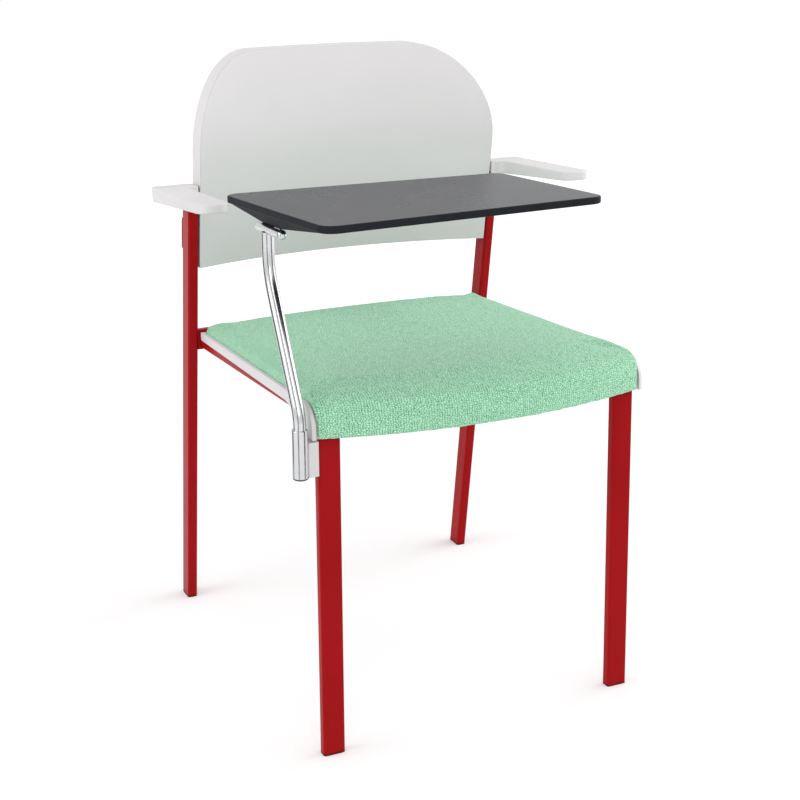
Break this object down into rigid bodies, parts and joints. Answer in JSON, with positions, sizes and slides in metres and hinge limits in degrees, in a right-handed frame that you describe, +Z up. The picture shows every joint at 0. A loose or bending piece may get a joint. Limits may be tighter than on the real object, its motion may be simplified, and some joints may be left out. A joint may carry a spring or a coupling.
{
  "type": "tablet arm chair",
  "caption": "Chair with a rectangular tube frame, padded seat, curved moulded back, moulded armrests and a writing tablet on a swivelling chromed arm.",
  "frame": {"origin": "on the floor under the middle of the bounding box", "axes": "+Z up, the chair faces -Y, +X to the sitter's left; the tablet's arm stands on the sitter's right, at -X"},
  "size_m": [0.582, 0.6751, 0.847],
  "materials": {
    "red_enamel": "gloss enamel",
    "dark_red_plastic": "satin",
    "black_plastic": "matte",
    "grey_plastic": "fine grain",
    "green_fabric": "coarse crepe weave",
    "chrome": "polished",
    "zinc_steel": "zinc plated",
    "black_laminate": "satin",
    "black_housing": "satin"
  },
  "bodies": {
    "chair": {"front_leg_right": "red_enamel", "front_leg_left": "red_enamel", "rear_leg_right": "red_enamel", "rear_leg_left": "red_enamel", "rear_cross_rail": "red_enamel", "front_cross_rail": "red_enamel", "glide_front_right": "dark_red_plastic", "glide_front_left": "dark_red_plastic", "glide_rear_right": "dark_red_plastic", "glide_rear_left": "dark_red_plastic", "seat_pan": "grey_plastic", "seat_pad": "green_fabric", "seat_screws": "zinc_steel", "back_shell": "grey_plastic", "back_plate_right": "red_enamel", "back_plate_left": "red_enamel", "back_screws": "zinc_steel", "armrest_right": "grey_plastic", "armrest_left": "grey_plastic", "armrest_screws": "zinc_steel", "socket_bracket": "grey_plastic", "bracket_bolts": "zinc_steel", "socket_tube": "chrome", "socket_cap": "black_plastic"},
    "arm": {"arm_tube": "chrome", "arm_plug": "black_plastic", "stop_pin": "zinc_steel", "hinge_barrel": "chrome"},
    "tablet": {"tablet_board": "black_laminate", "hinge_housing": "black_housing", "hinge_knuckle": "chrome", "hinge_pin": "zinc_steel", "hinge_cap": "chrome", "tablet_screws": "zinc_steel"}
  },
  "joints": [
    {"name": "arm_swivel", "type": "hinge", "parent": "chair", "child": "arm", "pos_m": [-0.25, -0.20465, 0.42], "axis": [0, 0, 1], "range_deg": [0, 90]},
    {"name": "tablet_tilt", "type": "hinge", "parent": "arm", "child": "tablet", "pos_m": [-0.25, -0.12665, 0.678], "axis": [0, -0.9985, 0.0548], "range_deg": [0, 90]}
  ]
}
